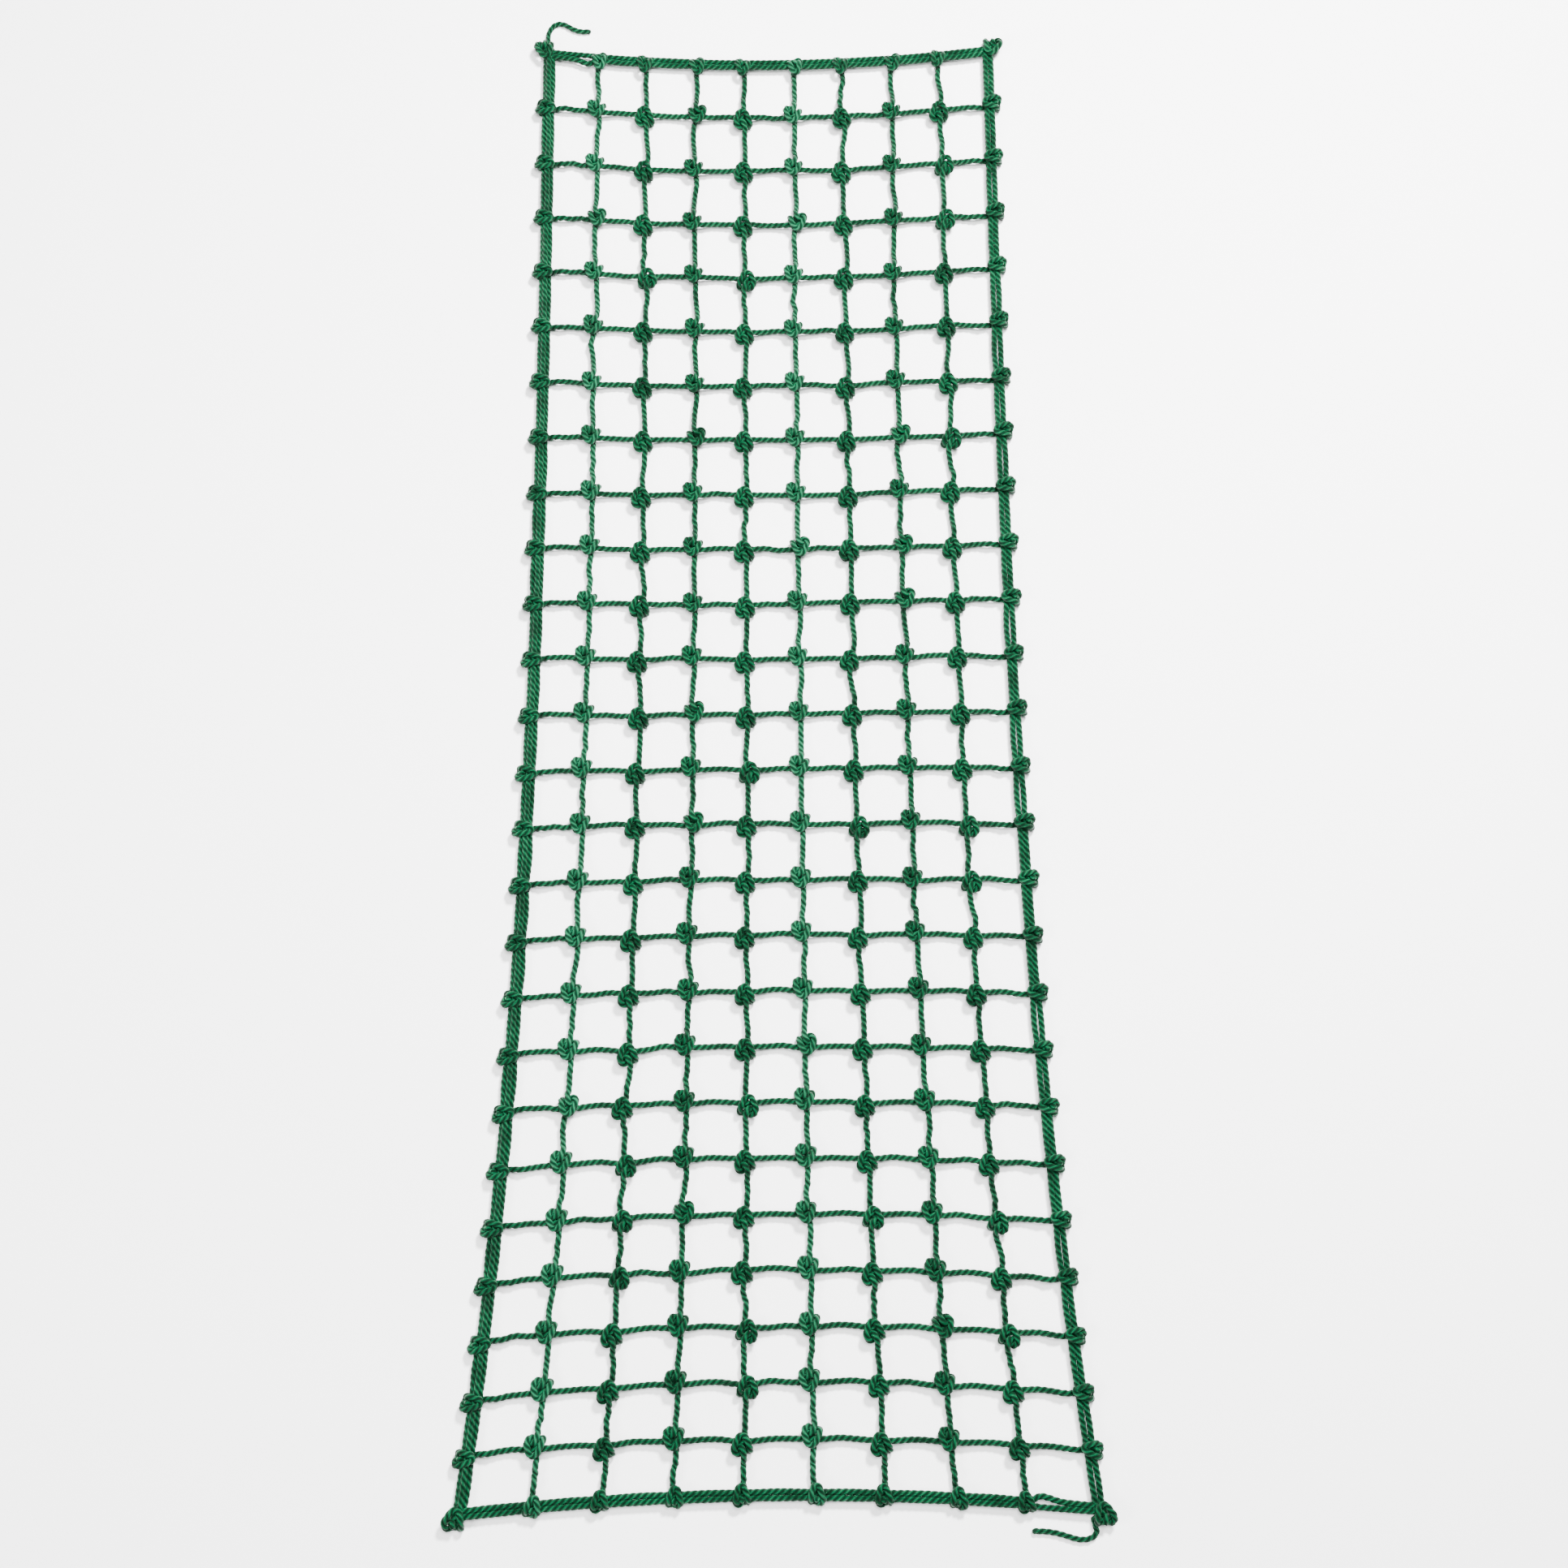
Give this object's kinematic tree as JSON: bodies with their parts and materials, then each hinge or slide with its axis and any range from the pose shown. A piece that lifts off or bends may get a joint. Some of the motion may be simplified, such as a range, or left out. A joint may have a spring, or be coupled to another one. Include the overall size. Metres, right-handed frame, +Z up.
{
  "type": "cargo climbing net",
  "caption": "Flat knotted rope climbing net with square mesh, doubled rope borders, tied corners and loose rope tails, folding in half across its middle.",
  "frame": {"origin": "centre of the net's bounding box on the floor plane, without the two loose tails", "axes": "+X across the net, +Y along the net towards its narrower head, +Z up from the floor it lies on"},
  "size_m": [1.192, 3.0263, 0.032],
  "materials": {
    "long_rope": "glossy laid synthetic rope",
    "cross_rope": "glossy laid synthetic rope",
    "border_rope": "glossy laid synthetic rope",
    "tail_rope": "glossy laid synthetic rope with a heat-sealed end"
  },
  "bodies": {
    "foot_half": {"foot_cord_1": "long_rope", "foot_cord_2": "long_rope", "foot_cord_3": "long_rope", "foot_cord_4": "long_rope", "foot_cord_5": "long_rope", "foot_cord_6": "long_rope", "foot_cord_7": "long_rope", "foot_cord_8": "long_rope", "cross_cord_13": "cross_rope", "cross_cord_14": "cross_rope", "cross_cord_15": "cross_rope", "cross_cord_16": "cross_rope", "cross_cord_17": "cross_rope", "cross_cord_18": "cross_rope", "cross_cord_19": "cross_rope", "cross_cord_20": "cross_rope", "cross_cord_21": "cross_rope", "cross_cord_22": "cross_rope", "cross_cord_23": "cross_rope", "cross_cord_24": "cross_rope", "cross_cord_25": "cross_rope", "foot_left_outer_strand": "border_rope", "foot_left_inner_strand": "border_rope", "foot_left_upper_strand": "border_rope", "foot_right_inner_strand": "border_rope", "foot_right_outer_strand": "border_rope", "foot_border_outer_strand": "border_rope", "foot_border_inner_strand": "border_rope", "tail_foot_right": "tail_rope"},
    "head_half": {"head_cord_1": "long_rope", "head_cord_2": "long_rope", "head_cord_3": "long_rope", "head_cord_4": "long_rope", "head_cord_5": "long_rope", "head_cord_6": "long_rope", "head_cord_7": "long_rope", "head_cord_8": "long_rope", "cross_cord_01": "cross_rope", "cross_cord_02": "cross_rope", "cross_cord_03": "cross_rope", "cross_cord_04": "cross_rope", "cross_cord_05": "cross_rope", "cross_cord_06": "cross_rope", "cross_cord_07": "cross_rope", "cross_cord_08": "cross_rope", "cross_cord_09": "cross_rope", "cross_cord_10": "cross_rope", "cross_cord_11": "cross_rope", "cross_cord_12": "cross_rope", "head_left_outer_strand": "border_rope", "head_left_inner_strand": "border_rope", "head_left_upper_strand": "border_rope", "head_right_inner_strand": "border_rope", "head_right_outer_strand": "border_rope", "head_border_outer_strand": "border_rope", "head_border_inner_strand": "border_rope", "tail_head_left": "tail_rope"}
  },
  "joints": [
    {"name": "middle_fold", "type": "hinge", "parent": "foot_half", "child": "head_half", "pos_m": [0, -0.03095, 0.0325], "axis": [1, 0, 0], "range_deg": [0, 180]}
  ]
}
